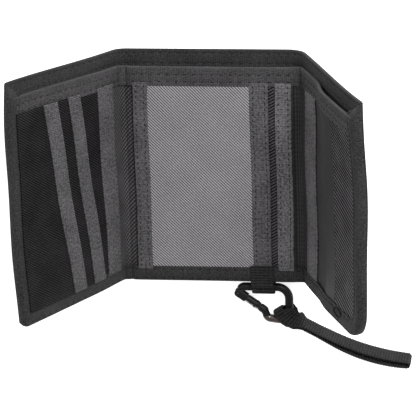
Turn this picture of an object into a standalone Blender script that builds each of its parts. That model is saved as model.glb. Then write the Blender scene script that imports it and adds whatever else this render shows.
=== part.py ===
"""Three-panel nylon wallet that lies open on its back, with a webbing leash on a small snap hook.

Frame: X to the right across the panels, Y towards the wallet's top edge, Z up, away from the back.
The origin is the middle of the centre panel's back face. Dimensions below are in millimetres.
"""

import math

import bmesh
import bpy
from mathutils import Matrix, Vector

MM = 0.001

# Driving dimensions.
HEIGHT = 108.0  # outer shell, bottom edge to top edge
CENTRE_HALF = 41.5  # middle of the centre panel to the line where two back faces meet
LEFT_WIDTH = 76.0  # that line to the left wing's outer edge
RIGHT_WIDTH = 84.0
LEFT_REST = math.radians(61.6)  # raised from flat
RIGHT_REST = math.radians(66.3)
BINDING = 7.5  # width of the tape round every edge
LINER_DROP = 6.5  # the liner's top edge below the shell's
LINER_BINDING = 8.5
SHELL = 1.0
GAP = 0.3  # between layers that lie against each other
TAPE = 0.6
TRIM_TAPE = 0.5
MESH = 0.3
SHELL_ROUND = 0.3
EDGE_ROUND = 0.5
RIM_ROUND = 1.2

# Heights of the layers above each panel's back face.
CENTRE_LINER = (5.5, 6.2)
CENTRE_SLIP = (6.5, 6.9)
CENTRE_FRONT = (7.2, 7.6)
CENTRE_STACK = 7.4  # sewn edges
WING_LINER = (3.0, 3.6)
WING_STACK = 4.2
LEFT_LAYER_STEP = 0.6
COIN_FRONT = (4.4, 4.8)

# Tapes on the pockets, as distances from the line where the back faces meet, or from the middle.
# A card pocket's mouth leans, so each of its edges has a distance at the bottom and one at the top.
CARD_MOUTHS = (((34.2, 47.4), (42.6, 56.2)), ((20.1, 32.5), (28.0, 40.1)), ((8.4, 10.0), (17.2, 20.6)))
FOLD_TRIM = (11.0, 26.0)
COIN_HEM = (41.0, 54.6)
SLIP_POCKET = (-34.0, 37.0)
SLIP_TAPE = (30.7, 37.3)
WINDOW_TAPE = (-34.0, -27.3)
WINDOW_MOUTH = (18.7, 27.1)

# The folds turn on lines along Y, at these heights above the back face, so that the left wing
# closes onto the centre panel and the right wing closes onto the left one.
LEFT_FRONT = 5.7
RIGHT_FRONT = 5.0
CENTRE_TOP = 7.8
CLOSED_GAP = 0.5
LEFT_HINGE = (CENTRE_TOP + LEFT_FRONT + CLOSED_GAP) / 2
RIGHT_HINGE = (2 * LEFT_HINGE + RIGHT_FRONT + CLOSED_GAP) / 2
LEFT_FOOT = LEFT_HINGE * math.tan(LEFT_REST / 2)
RIGHT_FOOT = RIGHT_HINGE * math.tan(RIGHT_REST / 2)
LEFT_AXIS_X = -CENTRE_HALF + LEFT_FOOT
RIGHT_AXIS_X = CENTRE_HALF - RIGHT_FOOT

TOP = HEIGHT / 2
LINER_TOP = TOP - LINER_DROP
POCKET_TOP = LINER_TOP - LINER_BINDING - GAP
POCKET_BOTTOM = -TOP + BINDING + GAP

# Leash.
WEBBING = 0.9
LOOP_WIDTH = 10.4
LOOP_X = 22.5
ROD = 1.9
BAR_Y = -TOP - 2.6
BAR_Z = WEBBING + GAP + ROD
HOOK_CORNERS = (  # pivot, top left, top right, bottom right, bottom left, neck, nose
    (10.8, -59.4, 0.0),
    (12.6, BAR_Y, 2.2),
    (34.0, BAR_Y, 5.5),
    (34.0, -72.9, 4.6),
    (24.0, -71.5, 2.2),
    (22.6, -67.7, 1.2),
    (20.7, -66.35, 0.0),
)
GATE_ANGLE = math.radians(-35.0)
GATE_LENGTH = 11.6
GATE_BORE = 1.1
PIN = 0.5
PIN_HOLE = 0.8
TONGUE = 1.5
KNUCKLE = 3.3  # radius cleared round the pivot for the gate's cheeks
GATE_SLOT = (-2.4, 4.6)  # from the pivot, along the gate
GATE_BORE_SPAN = (-0.6, 10.4)  # it starts inside the slot, so that the spring can be put in
SPRING_SPAN = (5.2, 9.2)
SPRING_TURNS = 5
SPRING_COIL = 0.7
SPRING_WIRE = 0.16

# The doubled strap, by distance from the centre of the hook's corner that it holds.
STRAP_WIDTH = 10.0
STRAP_SHIFT = 2.2  # its middle lies this far up the rod from the corner's centre
STRAP_EYE = -2.6
STRAP_EYE_END = 5.5
STRAP_SEWN = (10.0, 20.0)
STRAP_LENGTH = 64.5
STRAP_TWIST = math.radians(83.6)
STRAP_TWISTED = (6.5, 14.5)
STRAP_BEND = 28.0
STRAP_START = math.radians(-27.7)
STRAP_END = math.radians(-3.9)
STRAP_SLACK = 0.9  # half the most that its two layers part
FLOOR_GAP = 0.1

COLOURS = {  # base colour, roughness, metallic
    "shell_nylon": ((0.035, 0.035, 0.040), 0.75, 0.0),
    "liner_nylon": ((0.030, 0.030, 0.034), 0.70, 0.0),
    "binding_tape": ((0.065, 0.063, 0.066), 0.85, 0.0),
    "pocket_mesh": ((0.025, 0.025, 0.028), 0.80, 0.0),
    "window_mesh": ((0.30, 0.30, 0.31), 0.70, 0.0),
    "webbing": ((0.060, 0.060, 0.060), 0.85, 0.0),
    "hook_metal": ((0.030, 0.030, 0.032), 0.30, 1.0),
    "steel": ((0.55, 0.55, 0.56), 0.30, 1.0),
}


def clear_scene():
    for obj in list(bpy.data.objects):
        bpy.data.objects.remove(obj, do_unlink=True)


def new_collection(name):
    made = bpy.data.collections.new(name)
    bpy.context.scene.collection.children.link(made)
    return made


def new_material(name, colour, roughness, metallic):
    material = bpy.data.materials.new(name)
    material.use_nodes = True
    shader = material.node_tree.nodes["Principled BSDF"]
    shader.inputs["Base Color"].default_value = (*colour, 1.0)
    shader.inputs["Roughness"].default_value = roughness
    shader.inputs["Metallic"].default_value = metallic
    material.diffuse_color = (*colour, 1.0)
    return material


clear_scene()
PARTS = new_collection("trifold_wallet")
CUTTERS = new_collection("cutters")
MATERIALS = {name: new_material(name, *values) for name, values in COLOURS.items()}


def keep(obj, name, slot, frame=None):
    """Names the object, gives it its material, and hangs it on its frame."""
    obj.name = name
    obj.data.name = name
    for collection in list(obj.users_collection):
        collection.objects.unlink(obj)
    PARTS.objects.link(obj)
    obj.data.materials.clear()
    obj.data.materials.append(MATERIALS[slot])
    obj.parent = frame
    return obj


def new_frame(name, location, turn):
    frame = bpy.data.objects.new(name, None)
    frame.location = Vector(location) * MM
    frame.rotation_euler = (0.0, turn, 0.0)
    PARTS.objects.link(frame)
    return frame


def bevel(obj, width, segments=1):
    modifier = obj.modifiers.new("rounded_edges", "BEVEL")
    modifier.width = width * MM
    modifier.segments = segments
    modifier.limit_method = "ANGLE"


class Panel:
    """One stiff panel. u runs from the fold outwards, v along Y, n up from the back face."""

    def __init__(self, name, side, axis_x, hinge, foot, turn):
        self.side, self.hinge, self.foot = side, hinge, foot
        self.frame = new_frame(name, (axis_x, 0.0, hinge), turn)

    def slab(self, name, slot, u, v, n, rounded=0.0):
        """A flat layer between two values each of u, v and n. A leaning edge has a (bottom, top) pair for u."""
        edges = [edge if isinstance(edge, tuple) else (edge, edge) for edge in u]
        mean_u = sum(map(sum, edges)) / 4
        middle = Vector((self.side * (mean_u - self.foot), sum(v) / 2, sum(n) / 2 - self.hinge))
        bpy.ops.mesh.primitive_cube_add(size=1.0)
        obj = keep(bpy.context.object, name, slot, self.frame)
        for vertex in obj.data.vertices:
            outer, top, front = vertex.co.x * self.side > 0, vertex.co.y > 0, vertex.co.z > 0
            place = Vector((self.side * (edges[outer][top] - self.foot), v[top], n[front] - self.hinge))
            vertex.co = (place - middle) * MM
        obj.location = middle * MM
        if rounded:
            bevel(obj, rounded)
        return obj


def loft(name, slot, rings, closed):
    """A body through a row of four-cornered sections, either a closed ring or capped at its ends."""
    mesh = bpy.data.meshes.new(name)
    shape = bmesh.new()
    rows = [[shape.verts.new(Vector(corner) * MM) for corner in ring] for ring in rings]
    pairs = list(zip(rows, rows[1:])) + ([(rows[-1], rows[0])] if closed else [])
    for first, second in pairs:
        for i in range(4):
            j = (i + 1) % 4
            shape.faces.new((first[i], first[j], second[j], second[i]))
    if not closed:
        shape.faces.new(rows[0][::-1])
        shape.faces.new(rows[-1])
    bmesh.ops.recalc_face_normals(shape, faces=shape.faces)
    shape.to_mesh(mesh)
    shape.free()
    obj = bpy.data.objects.new(name, mesh)
    PARTS.objects.link(obj)
    return keep(obj, name, slot)


def band(name, slot, path, thickness, along, width):
    """A strip of tape: path holds (point, normal) pairs, and width runs both ways along a fixed axis."""
    rings = []
    for point, normal in path:
        half = Vector(along) * width / 2
        skin = Vector(normal).normalized() * thickness / 2
        middle = Vector(point)
        rings.append(
            (middle - half - skin, middle + half - skin, middle + half + skin, middle - half + skin)
        )
    return loft(name, slot, rings, False)


def fold_arc(axis_x, hinge, side, rest, radius, trim):
    """Points of an arc about the fold's line, from under it round to the wing, each with its normal."""
    steps = 8
    path = []
    for i in range(steps + 1):
        angle = trim / radius + (rest - 2 * trim / radius) * i / steps
        normal = Vector((side * math.sin(angle), 0.0, -math.cos(angle)))
        path.append((Vector((axis_x, 0.0, hinge)) + normal * radius, normal))
    return path


def liner_curve(axis_x, hinge, side, rest, start, end, trim):
    """The same for the liner, whose distance to the fold's line changes from panel to panel."""
    steps = 6
    path = []
    for i in range(steps + 1):
        share = i / steps
        radius = start + (end - start) * share
        angle = trim / start + (rest - trim / start - trim / end) * share
        normal = Vector((side * math.sin(angle), 0.0, -math.cos(angle)))
        path.append((Vector((axis_x, 0.0, hinge)) + normal * radius, normal))
    return path


def centre_panel():
    panel = Panel("centre", 1, 0.0, 0.0, 0.0, 0.0)
    left, right = LEFT_AXIS_X + GAP, RIGHT_AXIS_X - GAP
    mid = (left, right)
    panel.slab("centre_shell", "shell_nylon", mid, (POCKET_BOTTOM, TOP - BINDING - GAP), (0.0, SHELL))
    panel.slab("centre_shell_top_binding", "binding_tape", mid, (TOP - BINDING, TOP), (0.0, SHELL), SHELL_ROUND)
    panel.slab("centre_liner", "liner_nylon", mid, (POCKET_BOTTOM, POCKET_TOP), CENTRE_LINER)
    panel.slab(
        "centre_liner_top_binding", "binding_tape", mid,
        (LINER_TOP - LINER_BINDING, LINER_TOP), (CENTRE_LINER[0], CENTRE_STACK), EDGE_ROUND,
    )
    panel.slab(
        "centre_bottom_binding", "binding_tape", mid,
        (-TOP, -TOP + BINDING), (0.0, CENTRE_STACK), EDGE_ROUND,
    )
    pocket = (POCKET_BOTTOM, POCKET_TOP)
    tape = (CENTRE_FRONT[0], CENTRE_FRONT[0] + TAPE)
    window = (WINDOW_TAPE[1] + GAP, WINDOW_MOUTH[0] - GAP)
    panel.slab("slip_pocket", "pocket_mesh", SLIP_POCKET, pocket, CENTRE_SLIP)
    panel.slab("slip_pocket_tape", "binding_tape", SLIP_TAPE, pocket, tape)
    panel.slab("id_window_left_tape", "binding_tape", WINDOW_TAPE, pocket, tape)
    panel.slab("id_window_mesh", "window_mesh", window, pocket, CENTRE_FRONT)
    panel.slab("id_window_mouth_tape", "binding_tape", WINDOW_MOUTH, pocket, tape)


def wing(name, side, axis_x, hinge, foot, rest, width):
    """The layers that both wings have. Returns the panel, for its pockets."""
    panel = Panel(name + "_wing", side, axis_x, hinge, foot, -side * rest)
    inner, outer = foot + GAP, width - BINDING - GAP
    panel.slab(
        name + "_shell", "shell_nylon",
        (inner, outer), (POCKET_BOTTOM, TOP - BINDING - GAP), (0.0, SHELL),
    )
    panel.slab(
        name + "_shell_top_binding", "binding_tape",
        (inner, outer), (TOP - BINDING, TOP), (0.0, SHELL), SHELL_ROUND,
    )
    panel.slab(name + "_liner", "liner_nylon", (inner, outer), (POCKET_BOTTOM, POCKET_TOP), WING_LINER)
    panel.slab(
        name + "_liner_top_binding", "binding_tape",
        (inner, outer), (LINER_TOP - LINER_BINDING, LINER_TOP), (WING_LINER[0], WING_STACK), EDGE_ROUND,
    )
    panel.slab(
        name + "_bottom_binding", "binding_tape",
        (inner, outer), (-TOP, -TOP + BINDING), (0.0, WING_STACK), EDGE_ROUND,
    )
    panel.slab(
        name + "_edge_binding", "binding_tape",
        (width - BINDING, width), (-TOP, TOP), (0.0, WING_STACK), RIM_ROUND,
    )
    return panel


def left_wing():
    panel = wing("left", -1, LEFT_AXIS_X, LEFT_HINGE, LEFT_FOOT, LEFT_REST, LEFT_WIDTH)
    outer = LEFT_WIDTH - BINDING - GAP
    pocket = (POCKET_BOTTOM, POCKET_TOP)
    for number, mouth in enumerate(CARD_MOUTHS, 1):
        low = WING_LINER[1] + GAP + LEFT_LAYER_STEP * (len(CARD_MOUTHS) - number)
        seam = tuple(edge + GAP for edge in mouth[1])
        panel.slab(f"card_pocket_{number}", "pocket_mesh", (seam, outer), pocket, (low, low + MESH))
        panel.slab(f"card_pocket_{number}_tape", "binding_tape", mouth, pocket, (low, low + TAPE))


def right_wing():
    panel = wing("right", 1, RIGHT_AXIS_X, RIGHT_HINGE, RIGHT_FOOT, RIGHT_REST, RIGHT_WIDTH)
    outer = RIGHT_WIDTH - BINDING - GAP
    pocket = (POCKET_BOTTOM, POCKET_TOP)
    trim = WING_LINER[1] + GAP
    panel.slab("fold_trim_tape", "binding_tape", FOLD_TRIM, pocket, (trim, trim + TRIM_TAPE))
    panel.slab("coin_pocket_hem", "liner_nylon", COIN_HEM, pocket, (COIN_FRONT[0], COIN_FRONT[0] + TAPE))
    panel.slab("coin_pocket", "pocket_mesh", (COIN_HEM[1] + GAP, outer), pocket, COIN_FRONT)


def folds():
    """Fabric between the panels, cut to the length that it has at rest."""
    shell_v = HEIGHT
    liner_v = HEIGHT - LINER_DROP - BINDING
    liner_middle = Vector((0.0, (LINER_TOP - TOP + BINDING) / 2, 0.0))
    sides = (
        ("left", -1, LEFT_AXIS_X, LEFT_HINGE, LEFT_REST),
        ("right", 1, RIGHT_AXIS_X, RIGHT_HINGE, RIGHT_REST),
    )
    for name, side, axis_x, hinge, rest in sides:
        path = fold_arc(axis_x, hinge, side, rest, hinge - SHELL / 2, GAP)
        band(f"{name}_fold_shell", "shell_nylon", path, SHELL, (0, 1, 0), shell_v)
        path = liner_curve(
            axis_x, hinge, side, rest,
            hinge - sum(CENTRE_LINER) / 2, hinge - sum(WING_LINER) / 2, GAP,
        )
        path = [(point + liner_middle, normal) for point, normal in path]
        band(f"{name}_fold_liner", "liner_nylon", path, 0.6, (0, 1, 0), liner_v)


def leash_loop():
    """The webbing that is sewn over the bottom edge and holds the snap hook's bar."""
    radius = ROD + GAP + WEBBING / 2
    front = CENTRE_STACK + GAP + WEBBING / 2
    up = Vector((0, 0, 1))
    path = [(Vector((LOOP_X, y, front)), up) for y in (-TOP + 7.0, -TOP + 0.6)]
    path.append((Vector((LOOP_X, -TOP - 0.9, front - 0.7)), Vector((0, -0.55, 1))))
    for degrees in range(75, 271, 15):
        angle = math.radians(degrees)
        normal = Vector((0, -math.sin(angle - math.pi / 2), math.cos(angle - math.pi / 2)))
        path.append((Vector((LOOP_X, BAR_Y, BAR_Z)) + normal * radius, normal))
    path.append((Vector((LOOP_X, -TOP - GAP, BAR_Z - radius)), -up))
    band("leash_loop", "webbing", path, WEBBING, (1, 0, 0), LOOP_WIDTH)


def rounded_path(corners, step=15.0):
    """The polyline with an arc at each corner, and the centres of those arcs."""
    points, centres = [Vector((*corners[0][:2], 0.0))], []
    for before, here, after in zip(corners, corners[1:], corners[2:]):
        corner = Vector((*here[:2], 0.0))
        back = (Vector((*before[:2], 0.0)) - corner).normalized()
        ahead = (Vector((*after[:2], 0.0)) - corner).normalized()
        half = back.angle(ahead) / 2
        centre = corner + (back + ahead).normalized() * here[2] / math.sin(half)
        first = corner + back * here[2] / math.tan(half) - centre
        sweep = math.pi - 2 * half
        turn = 1.0 if back.cross(ahead).z < 0 else -1.0
        count = max(2, round(math.degrees(sweep) / step))
        for i in range(count + 1):
            points.append(centre + Matrix.Rotation(turn * sweep * i / count, 3, "Z") @ first)
        centres.append(centre)
    points.append(Vector((*corners[-1][:2], 0.0)))
    return points, centres


def tube(name, points, radius, sides_level):
    """A solid rod along the points, as a mesh."""
    curve = bpy.data.curves.new(name, "CURVE")
    curve.dimensions = "3D"
    curve.bevel_depth = radius * MM
    curve.bevel_resolution = sides_level
    curve.use_fill_caps = True
    spline = curve.splines.new("POLY")
    spline.points.add(len(points) - 1)
    for target, point in zip(spline.points, points):
        target.co = (*(Vector(point) * MM), 1.0)
    holder = bpy.data.objects.new(name, curve)
    PARTS.objects.link(holder)
    bpy.context.view_layer.update()
    mesh = bpy.data.meshes.new_from_object(holder.evaluated_get(bpy.context.evaluated_depsgraph_get()))
    matrix = holder.matrix_world.copy()
    bpy.data.objects.remove(holder, do_unlink=True)
    shape = bmesh.new()
    shape.from_mesh(mesh)
    bmesh.ops.remove_doubles(shape, verts=shape.verts, dist=1e-6)
    bmesh.ops.recalc_face_normals(shape, faces=shape.faces)
    shape.to_mesh(mesh)
    shape.free()
    mesh.shade_smooth()
    mesh.set_sharp_from_angle(angle=math.radians(40))
    obj = bpy.data.objects.new(name, mesh)
    obj.matrix_world = matrix
    PARTS.objects.link(obj)
    return obj


def cylinder(radius, length, location, sides=24):
    """An upright cylinder about the given middle."""
    bpy.ops.mesh.primitive_cylinder_add(vertices=sides, radius=radius * MM, depth=length * MM)
    obj = bpy.context.object
    obj.location = Vector(location) * MM
    return obj


def cut(target, cutter, name):
    """Takes the cutter's shape out of the target."""
    cutter.name = name
    for collection in list(cutter.users_collection):
        collection.objects.unlink(cutter)
    CUTTERS.objects.link(cutter)
    cutter.hide_render = True
    cutter.display_type = "WIRE"
    modifier = target.modifiers.new(name, "BOOLEAN")
    modifier.object = cutter
    modifier.operation = "DIFFERENCE"


def snap_hook():
    """Frame, sprung gate, hinge pin and spring. Returns the centre of the corner that the strap holds."""
    points, centres = rounded_path(HOOK_CORNERS)
    lead = (points[0] - points[1]).normalized() * 1.3
    points[0] = points[0] + lead
    lift = Vector((0.0, 0.0, BAR_Z))
    pivot = Vector((*HOOK_CORNERS[0][:2], BAR_Z))

    frame = keep(tube("hook_frame", [p + lift for p in points], ROD, 3), "hook_frame", "hook_metal")
    height = 4.0
    for sign, level in ((1, "over"), (-1, "under")):
        clearance = cylinder(KNUCKLE, height, pivot + Vector((0, 0, sign * (TONGUE + height) / 2)))
        cut(frame, clearance, f"hook_frame_clearance_{level}")
    cut(frame, cylinder(PIN_HOLE, 6.0, pivot), "hook_frame_pin_hole")

    along = Vector((math.cos(GATE_ANGLE), math.sin(GATE_ANGLE), 0.0))
    gate = keep(
        tube("hook_gate", [pivot + along * s for s in (-1.7, 4.0, GATE_LENGTH)], ROD, 3),
        "hook_gate", "hook_metal",
    )
    bpy.ops.mesh.primitive_cube_add(size=1.0)
    slot = bpy.context.object
    size = (GATE_SLOT[1] - GATE_SLOT[0], 3 * ROD, TONGUE + 2 * GAP)
    slot.data.transform(Matrix.Diagonal((*(length * MM for length in size), 1.0)))
    slot.location = (pivot + along * sum(GATE_SLOT) / 2) * MM
    slot.rotation_euler = (0.0, 0.0, GATE_ANGLE)
    cut(gate, slot, "hook_gate_slot")
    bore_length = GATE_BORE_SPAN[1] - GATE_BORE_SPAN[0]
    bore = cylinder(GATE_BORE, bore_length, pivot + along * sum(GATE_BORE_SPAN) / 2, 16)
    bore.rotation_euler = (0.0, math.pi / 2, GATE_ANGLE)
    cut(gate, bore, "hook_gate_bore")
    cut(gate, cylinder(PIN_HOLE, 6.0, pivot), "hook_gate_pin_hole")

    pin = cylinder(PIN, 2 * ROD + 0.2, pivot, 16)
    keep(pin, "hook_gate_pin", "steel")

    per_turn = 10
    side = Vector((-along.y, along.x, 0.0))
    coil = []
    for i in range(SPRING_TURNS * per_turn + 1):
        angle = 2 * math.pi * i / per_turn
        place = SPRING_SPAN[0] + (SPRING_SPAN[1] - SPRING_SPAN[0]) * i / (SPRING_TURNS * per_turn)
        ring = side * math.cos(angle) + Vector((0, 0, math.sin(angle)))
        coil.append(pivot + along * place + ring * SPRING_COIL)
    keep(tube("hook_gate_spring", coil, SPRING_WIRE, 0), "hook_gate_spring", "steel")
    return centres[2] + lift


def smooth(share):
    share = min(1.0, max(0.0, share))
    return share * share * (3 - 2 * share)


def strap_half_gap(s):
    """Half the distance between the strap's two layers, at this distance from the corner's centre."""
    eye, sewn = ROD + GAP + 0.2, GAP / 2
    first, last = STRAP_SEWN
    if s < first:
        return eye + (sewn - eye) * max(0.0, s - STRAP_EYE_END) / (first - STRAP_EYE_END)
    return sewn + STRAP_SLACK * math.sin(math.pi * min(1.0, max(0.0, s - last) / 60.0))


def strap_profile():
    """Closed outline of the folded webbing as (distance along, height) at its mid-thickness."""
    half = WEBBING / 2
    stations = [0.0, 2.8, STRAP_EYE_END, 6.5, 7.5, 8.5, 9.5, 10.5, 11.5, 12.5, 13.5, 14.5, 16.5, 20.0]
    stations += [26.0, 32.0, 38.0, 44.0, 50.0, 56.0, 61.0]
    upper = [(s, strap_half_gap(s) + half) for s in stations]
    eye_radius, far_radius = upper[0][1], upper[-1][1]
    eye_middle, far_middle = STRAP_EYE + strap_half_gap(0.0), STRAP_LENGTH - far_radius
    arc = [math.radians(degrees) for degrees in range(-60, 61, 30)]
    outline = list(upper)
    outline += [(far_middle + far_radius * math.cos(a), far_radius * math.sin(a)) for a in reversed(arc)]
    outline += [(s, -d) for s, d in reversed(upper)]
    outline += [(eye_middle - eye_radius * math.cos(a), eye_radius * math.sin(a)) for a in arc]
    return outline


def strap(corner):
    """Doubled webbing that leaves the hook flat, turns onto its edge and then bends a little."""

    def place(s, w, d):
        twist = STRAP_TWIST * smooth((s - STRAP_TWISTED[0]) / (STRAP_TWISTED[1] - STRAP_TWISTED[0]))
        steps = 40
        heading, point = STRAP_START, Vector((corner.x, corner.y, 0.0))
        for i in range(steps):
            here = s * (i + 0.5) / steps
            bend = min(1.0, max(0.0, (here - STRAP_BEND) / (STRAP_LENGTH - STRAP_BEND)))
            heading = STRAP_START + (STRAP_END - STRAP_START) * bend
            point += Vector((math.cos(heading), math.sin(heading), 0.0)) * s / steps
        lateral, up = Vector((-math.sin(heading), math.cos(heading), 0.0)), Vector((0.0, 0.0, 1.0))
        width_dir = lateral * math.cos(twist) - up * math.sin(twist)
        normal = lateral * math.sin(twist) + up * math.cos(twist)
        reach = strap_half_gap(s) + WEBBING
        drop = (STRAP_WIDTH / 2 + STRAP_SHIFT) * math.sin(twist) + reach * math.cos(twist) + FLOOR_GAP
        return point + up * max(BAR_Z, drop) + width_dir * w + normal * d

    rings = []
    outline = [Vector(point) for point in strap_profile()]
    low, high = STRAP_SHIFT - STRAP_WIDTH / 2, STRAP_SHIFT + STRAP_WIDTH / 2
    for i, point in enumerate(outline):
        tangent = (outline[(i + 1) % len(outline)] - outline[i - 1]).normalized()
        skin = Vector((-tangent.y, tangent.x)) * WEBBING / 2
        corners = [(point - skin, low), (point - skin, high), (point + skin, high), (point + skin, low)]
        rings.append([place(at.x, w, at.y) for at, w in corners])
    loft("leash_strap", "webbing", rings, True)


centre_panel()
left_wing()
right_wing()
folds()
leash_loop()
strap(snap_hook())
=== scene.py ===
"""A trifold nylon wallet lying on its back with its wings up, and the leash on its bottom edge."""

import math

import bmesh
import bpy
import numpy as np
from mathutils import Matrix, Vector


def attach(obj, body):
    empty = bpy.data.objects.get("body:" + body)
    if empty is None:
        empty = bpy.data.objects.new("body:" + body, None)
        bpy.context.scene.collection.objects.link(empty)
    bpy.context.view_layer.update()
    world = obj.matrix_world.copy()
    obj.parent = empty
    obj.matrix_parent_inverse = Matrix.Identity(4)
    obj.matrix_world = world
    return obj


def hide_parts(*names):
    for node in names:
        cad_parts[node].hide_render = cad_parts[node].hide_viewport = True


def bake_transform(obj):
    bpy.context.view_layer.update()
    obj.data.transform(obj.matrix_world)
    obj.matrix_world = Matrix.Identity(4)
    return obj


MM = 0.001
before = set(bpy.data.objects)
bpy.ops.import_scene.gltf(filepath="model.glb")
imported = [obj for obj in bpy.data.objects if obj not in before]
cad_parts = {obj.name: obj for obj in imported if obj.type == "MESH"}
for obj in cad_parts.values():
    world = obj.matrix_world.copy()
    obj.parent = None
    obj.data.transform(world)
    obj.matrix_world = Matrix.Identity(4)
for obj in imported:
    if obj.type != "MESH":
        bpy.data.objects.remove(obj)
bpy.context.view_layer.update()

# Where the panels' edges are along Y, which points to the wallet's open top. Millimetres.
TOP = 54.0
LINER_TOP = 47.5
POCKET_TOP, POCKET_BOTTOM = 40.5, -48.0
HALF_CENTRE = 41.5  # from the middle to the line where the backs of two panels would meet

# Heights over the shell's back face.
SHELL = 1.0
CENTRE_LINER, WING_LINER = 5.85, 3.3  # the liner's middle
CENTRE_STACK, WING_STACK = 7.4, 4.2  # the bound layers' front
LINER_HALF = 0.35

# The bindings' widths, and how far in from the edge their seams are.
BINDING, LINER_BINDING = 7.5, 8.5
SHELL_SEAMS, EDGE_SEAMS, LINER_SEAMS = (1.5, 6.2), (1.6, 5.9), (3.3, 6.6)
SIDE_SHARE = 0.78  # the edge binding shows this share of its width on the wings' sides


# ---------- camera, light and floor
CAMERA_AT = (0.1769, 0.3605, 1.1726)
YAW_PITCH_ROLL = (-8.7, 17.8, -1.8)
LENS, SENSOR = 237.7, 36.0
LIGHTS = {  # name: location, size and power
    "key": ((0.55, 0.75, 0.85), 0.6, 17),
    "fill": ((-0.75, 0.25, 0.8), 0.9, 3),
}
LIT_POINT = (0, 0, 0.02)
FLOOR_LEVEL, FLOOR_SIZE = -0.0006, 6


def put(node, values):
    """Sets a node's input sockets to constants."""
    for socket, value in values.items():
        node.inputs[socket].default_value = value


def make_camera():
    yaw, pitch, roll = map(math.radians, YAW_PITCH_ROLL)
    level = math.cos(pitch)
    forward = Vector((math.sin(yaw) * level, -math.sin(pitch), -math.cos(yaw) * level))
    right = forward.cross(Vector((0, 1, 0))).normalized()
    up = right.cross(forward)
    turned_right = right * math.cos(roll) + up * math.sin(roll)
    turned_up = up * math.cos(roll) - right * math.sin(roll)
    data = bpy.data.cameras.new("camera")
    data.lens, data.sensor_width = LENS, SENSOR
    data.clip_start, data.clip_end = 0.05, 20.0
    camera = bpy.data.objects.new("camera", data)
    turn = Matrix((turned_right, turned_up, -forward)).transposed().to_4x4()
    camera.matrix_world = Matrix.Translation(CAMERA_AT) @ turn
    bpy.context.scene.collection.objects.link(camera)
    bpy.context.scene.camera = camera


def area_light(name, location, size, power):
    data = bpy.data.lights.new(name, "AREA")
    data.shape, data.size, data.energy = "DISK", size, power
    lamp = bpy.data.objects.new(name, data)
    lamp.location = location
    aim = Vector(LIT_POINT) - Vector(location)
    lamp.rotation_euler = aim.to_track_quat("-Z", "Y").to_euler()
    bpy.context.scene.collection.objects.link(lamp)


def make_studio():
    scene = bpy.context.scene
    scene.view_settings.view_transform = "Standard"
    world = bpy.data.worlds.new("studio")
    scene.world = world
    world.use_nodes = True
    put(world.node_tree.nodes["Background"], {"Color": (1, 1, 1, 1), "Strength": 0.5})
    for name, light in LIGHTS.items():
        area_light(name, *light)
    bpy.ops.mesh.primitive_plane_add(size=FLOOR_SIZE, location=(0, 0, FLOOR_LEVEL))
    floor = bpy.context.object
    floor.name = "floor"
    material = bpy.data.materials.new("floor")
    material.use_nodes = True
    paper = {"Base Color": (0.9, 0.9, 0.9, 1), "Roughness": 0.9}
    paper |= {"Emission Color": (1, 1, 1, 1), "Emission Strength": 0.75}
    put(material.node_tree.nodes["Principled BSDF"], paper)
    floor.data.materials.append(material)


# ---------- materials
GREEN_SHARE = 0.955  # the cloth's greys are slightly purple


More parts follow.
